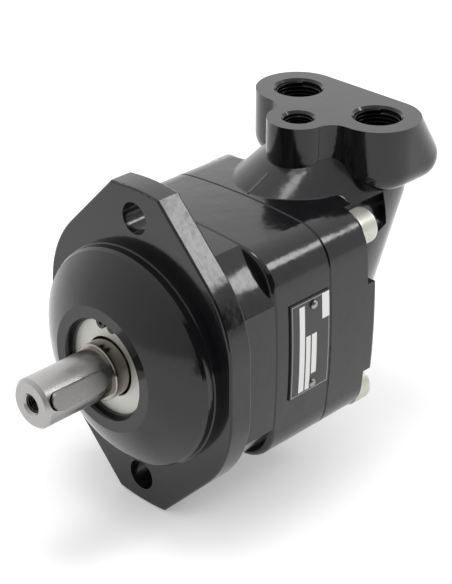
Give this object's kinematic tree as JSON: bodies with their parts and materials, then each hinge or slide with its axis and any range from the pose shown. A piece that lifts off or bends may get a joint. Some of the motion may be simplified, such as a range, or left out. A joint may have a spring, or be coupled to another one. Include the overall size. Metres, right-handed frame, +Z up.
{
  "type": "hydraulic piston pump",
  "caption": "Bent-axis hydraulic piston pump with a two-bolt flange, a keyed shaft, a square bearing housing and an upright three-port block on a tilted barrel casing.",
  "frame": {"origin": "centre of the pilot on the face of the mounting flange", "axes": "-Y along the drive shaft towards its free end, +Z up towards the port face, +X towards the side with the data plate"},
  "size_m": [0.11, 0.2131, 0.1537],
  "materials": {
    "enamel_black": "gloss",
    "shaft_steel": "satin",
    "polished_steel": "gloss",
    "zinc_screw": "satin",
    "pale_plate": "satin",
    "spring_steel": "satin",
    "bearing_steel": "gloss",
    "cage_steel": "satin",
    "gear_steel": "satin",
    "barrel_steel": "satin",
    "piston_steel": "gloss",
    "bronze": "satin",
    "rubber_black": "matt",
    "data_plate_metal": "satin"
  },
  "bodies": {
    "housing": {"bearing_housing": "enamel_black", "barrel_housing": "enamel_black", "housing_screws": "zinc_screw", "housing_o_ring": "rubber_black", "seal_carrier": "pale_plate", "carrier_o_ring": "rubber_black", "shaft_seal": "rubber_black", "circlip": "spring_steel", "data_plate": "data_plate_metal", "plate_rivets": "zinc_screw", "front_bearing_cup": "bearing_steel", "rear_bearing_cup": "bearing_steel", "valve_plate": "bronze", "valve_plate_pin": "bearing_steel"},
    "shaft": {"drive_shaft": "shaft_steel", "shaft_key": "shaft_steel", "seal_sleeve": "polished_steel", "bearing_nut": "bearing_steel", "bearing_spacer": "bearing_steel", "ring_gear": "gear_steel", "front_bearing_cone": "bearing_steel", "rear_bearing_cone": "bearing_steel"},
    "front_rollers": {"front_bearing_rollers": "bearing_steel", "front_bearing_cage": "cage_steel"},
    "rear_rollers": {"rear_bearing_rollers": "bearing_steel", "rear_bearing_cage": "cage_steel"},
    "barrel": {"cylinder_barrel": "barrel_steel", "barrel_gear": "gear_steel", "centre_pin": "piston_steel", "barrel_spring": "spring_steel", "spring_washers": "spring_steel"},
    "ball_ring_1_body": {"ball_ring_1": "bronze"},
    "piston_1_body": {"piston_1": "piston_steel", "piston_ring_1": "spring_steel"},
    "ball_ring_2_body": {"ball_ring_2": "bronze"},
    "piston_2_body": {"piston_2": "piston_steel", "piston_ring_2": "spring_steel"},
    "ball_ring_3_body": {"ball_ring_3": "bronze"},
    "piston_3_body": {"piston_3": "piston_steel", "piston_ring_3": "spring_steel"},
    "ball_ring_4_body": {"ball_ring_4": "bronze"},
    "piston_4_body": {"piston_4": "piston_steel", "piston_ring_4": "spring_steel"},
    "ball_ring_5_body": {"ball_ring_5": "bronze"},
    "piston_5_body": {"piston_5": "piston_steel", "piston_ring_5": "spring_steel"},
    "ball_ring_6_body": {"ball_ring_6": "bronze"},
    "piston_6_body": {"piston_6": "piston_steel", "piston_ring_6": "spring_steel"},
    "ball_ring_7_body": {"ball_ring_7": "bronze"},
    "piston_7_body": {"piston_7": "piston_steel", "piston_ring_7": "spring_steel"}
  },
  "joints": [
    {"name": "shaft_spin", "type": "hinge", "parent": "housing", "child": "shaft", "pos_m": [0, 0, 0], "axis": [0, 1, 0], "continuous": true},
    {"name": "barrel_spin", "type": "hinge", "parent": "housing", "child": "barrel", "pos_m": [0, 0.076, 0], "axis": [0, 0.766, 0.6428], "continuous": true},
    {"name": "front_rollers_orbit", "type": "hinge", "parent": "housing", "child": "front_rollers", "pos_m": [0, 0.0065, 0], "axis": [0, 1, 0], "continuous": true},
    {"name": "rear_rollers_orbit", "type": "hinge", "parent": "housing", "child": "rear_rollers", "pos_m": [0, 0.042, 0], "axis": [0, 1, 0], "continuous": true},
    {"name": "ball_turn_1", "type": "hinge", "parent": "shaft", "child": "ball_ring_1_body", "pos_m": [0, 0.076, 0.0185], "axis": [0, 1, 0], "continuous": true},
    {"name": "piston_swing_1", "type": "hinge", "parent": "ball_ring_1_body", "child": "piston_1_body", "pos_m": [0, 0.076, 0.0185], "axis": [0, 0.766, 0.6428], "continuous": true},
    {"name": "ball_turn_2", "type": "hinge", "parent": "shaft", "child": "ball_ring_2_body", "pos_m": [0.01446, 0.076, 0.01153], "axis": [0, 1, 0], "continuous": true},
    {"name": "piston_swing_2", "type": "hinge", "parent": "ball_ring_2_body", "child": "piston_2_body", "pos_m": [0.01446, 0.076, 0.01153], "axis": [0, 0.766, 0.6428], "continuous": true},
    {"name": "ball_turn_3", "type": "hinge", "parent": "shaft", "child": "ball_ring_3_body", "pos_m": [0.01804, 0.076, -0.00412], "axis": [0, 1, 0], "continuous": true},
    {"name": "piston_swing_3", "type": "hinge", "parent": "ball_ring_3_body", "child": "piston_3_body", "pos_m": [0.01804, 0.076, -0.00412], "axis": [0, 0.766, 0.6428], "continuous": true},
    {"name": "ball_turn_4", "type": "hinge", "parent": "shaft", "child": "ball_ring_4_body", "pos_m": [0.00803, 0.076, -0.01667], "axis": [0, 1, 0], "continuous": true},
    {"name": "piston_swing_4", "type": "hinge", "parent": "ball_ring_4_body", "child": "piston_4_body", "pos_m": [0.00803, 0.076, -0.01667], "axis": [0, 0.766, 0.6428], "continuous": true},
    {"name": "ball_turn_5", "type": "hinge", "parent": "shaft", "child": "ball_ring_5_body", "pos_m": [-0.00803, 0.076, -0.01667], "axis": [0, 1, 0], "continuous": true},
    {"name": "piston_swing_5", "type": "hinge", "parent": "ball_ring_5_body", "child": "piston_5_body", "pos_m": [-0.00803, 0.076, -0.01667], "axis": [0, 0.766, 0.6428], "continuous": true},
    {"name": "ball_turn_6", "type": "hinge", "parent": "shaft", "child": "ball_ring_6_body", "pos_m": [-0.01804, 0.076, -0.00412], "axis": [0, 1, 0], "continuous": true},
    {"name": "piston_swing_6", "type": "hinge", "parent": "ball_ring_6_body", "child": "piston_6_body", "pos_m": [-0.01804, 0.076, -0.00412], "axis": [0, 0.766, 0.6428], "continuous": true},
    {"name": "ball_turn_7", "type": "hinge", "parent": "shaft", "child": "ball_ring_7_body", "pos_m": [-0.01446, 0.076, 0.01153], "axis": [0, 1, 0], "continuous": true},
    {"name": "piston_swing_7", "type": "hinge", "parent": "ball_ring_7_body", "child": "piston_7_body", "pos_m": [-0.01446, 0.076, 0.01153], "axis": [0, 0.766, 0.6428], "continuous": true}
  ],
  "couplings": [
    {"joint": "barrel_spin", "follows": "shaft_spin", "ratio": 1},
    {"joint": "front_rollers_orbit", "follows": "shaft_spin", "ratio": 0.43},
    {"joint": "rear_rollers_orbit", "follows": "shaft_spin", "ratio": 0.43},
    {"joint": "ball_turn_1", "follows": "shaft_spin", "ratio": -1},
    {"joint": "piston_swing_1", "follows": "shaft_spin", "ratio": -1},
    {"joint": "ball_turn_2", "follows": "shaft_spin", "ratio": -1},
    {"joint": "piston_swing_2", "follows": "shaft_spin", "ratio": -1},
    {"joint": "ball_turn_3", "follows": "shaft_spin", "ratio": -1},
    {"joint": "piston_swing_3", "follows": "shaft_spin", "ratio": -1},
    {"joint": "ball_turn_4", "follows": "shaft_spin", "ratio": -1},
    {"joint": "piston_swing_4", "follows": "shaft_spin", "ratio": -1},
    {"joint": "ball_turn_5", "follows": "shaft_spin", "ratio": -1},
    {"joint": "piston_swing_5", "follows": "shaft_spin", "ratio": -1},
    {"joint": "ball_turn_6", "follows": "shaft_spin", "ratio": -1},
    {"joint": "piston_swing_6", "follows": "shaft_spin", "ratio": -1},
    {"joint": "ball_turn_7", "follows": "shaft_spin", "ratio": -1},
    {"joint": "piston_swing_7", "follows": "shaft_spin", "ratio": -1}
  ]
}
